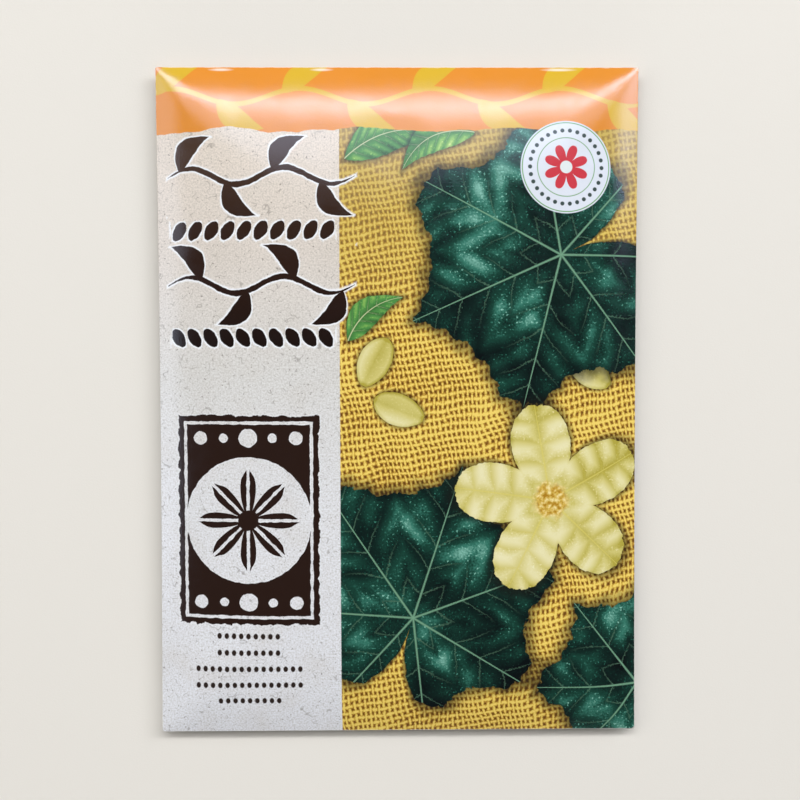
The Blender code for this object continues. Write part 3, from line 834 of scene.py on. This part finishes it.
paste = glueMaterial()
fullHeight = halfH - sheet["sideTaper"] - glue["inset"]
fullWidth = halfW - sheet["endTaper"] - glue["inset"]
glueFilm("side_seam_paste", evenLines(glue["inset"], sheet["sideFlap"] - glue["inset"]),
         evenLines(-fullHeight, fullHeight), lambda place, y: foldAcross("side flap", place, y), paste,
         "side_seam_glue")
for end, depth in (("bottom", sheet["bottomFlap"]), ("top", sheet["topFlap"])):
    glueFilm(end + "_flap_paste", evenLines(-fullWidth, fullWidth), evenLines(glue["inset"], depth - glue["inset"]),
             lambda x, place, part=end + " flap": foldEnd(part, place, x), paste, end + "_flap_glue")
seedCoat = seedMaterial()
for name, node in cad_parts.items():
    if name.startswith("seed_"):
        node.data.materials.clear()
        node.data.materials.append(seedCoat)
print("paste and seeds finished")


studio = {
    "tableSize": 3.0, "tableColors": ("#dad8d3", "#dddbd6"),
    "ambient": "#f4f2ee", "ambientHigh": 0.105, "ambientLow": 0.85,      # brighter round the horizon
    # softbox: place, size in metres, watts, colour; each faces the packet
    "softboxes": {
        "long_strip": ((0.0, 0.85, 1.0), (1.9, 0.2), 14.7, "#fffdfb"),
        "strip_glow": ((0.0, 0.54, 1.02), (1.6, 0.28), 3.4, "#ffffff"),
        "front_fill": ((0.0, -1.35, 0.22), (1.6, 0.2), 4.6, "#fff8ee"),
        "right_fill": ((0.87, 0.57, 0.64), (0.68, 0.46), 5.8, "#fdfdff"),
        "left_fill": ((-1.02, 0.15, 0.66), (0.95, 0.5), 3.4, "#fffaf2"),
    },
}


def tableTop():
    # matt painted board, a very faint mottle
    material, tree, shader, spot = startMaterial("matt_painted_board", IOR=1.45)
    color = addNode(tree, "ValToRGB", fineNoise(tree, spot, 400.0, 1),
                    stops=[(0.3, studio["tableColors"][0]), (0.7, studio["tableColors"][1])])
    finishPaper(tree, shader, spot, color.outputs[0], 0.8)
    bm = bmesh.new()
    bmesh.ops.create_grid(bm, x_segments=1, y_segments=1, size=studio["tableSize"] / 2)
    mesh = bpy.data.meshes.new("table_top")
    bm.to_mesh(mesh)
    bm.free()
    mesh.materials.append(material)
    table = bpy.data.objects.new("table_top", mesh)
    bpy.context.scene.collection.objects.link(table)


def lightStudio():
    scene = bpy.context.scene
    scene.view_settings.view_transform = "Standard"
    scene.world = bpy.data.worlds.new("studio_ambient")
    scene.world.use_nodes = True
    tree = scene.world.node_tree
    background = tree.nodes["Background"]
    background.inputs["Color"].default_value = linearFromHex(studio["ambient"])
    height = addNode(tree, "SeparateXYZ", addNode(tree, "TexCoord").outputs["Generated"]).outputs[2]
    strength = addNode(tree, "MapRange", height, 0.05, 0.4, studio["ambientLow"], studio["ambientHigh"])
    tree.links.new(strength.outputs[0], background.inputs["Strength"])
    for name, (place, size, watts, color) in studio["softboxes"].items():
        data = bpy.data.lights.new(name, "AREA")
        data.shape = "RECTANGLE"
        data.size, data.size_y = size
        data.energy = watts
        data.color = linearFromHex(color)[:3]
        lamp = bpy.data.objects.new(name, data)
        lamp.location = place
        lamp.rotation_euler = (-Vector(place)).to_track_quat("-Z", "Y").to_euler()
        scene.collection.objects.link(lamp)


overhead = {"lens": 45.0, "sensor": 36.0, "place": (-0.00158, 0.00676, 0.17433), "turn": (-2.095, -0.627, -0.134)}


def placeCamera():
    # straight above the packet, a hand's width up, tipped a little from plumb
    data = bpy.data.cameras.new("overhead_camera")
    data.lens = overhead["lens"]
    data.sensor_width = overhead["sensor"]
    data.clip_start = 0.01
    camera = bpy.data.objects.new("overhead_camera", data)
    camera.location = overhead["place"]
    camera.rotation_euler = [math.radians(turn) for turn in overhead["turn"]]
    bpy.context.scene.collection.objects.link(camera)
    bpy.context.scene.camera = camera


tableTop()
lightStudio()
placeCamera()
print("table, light and camera placed")
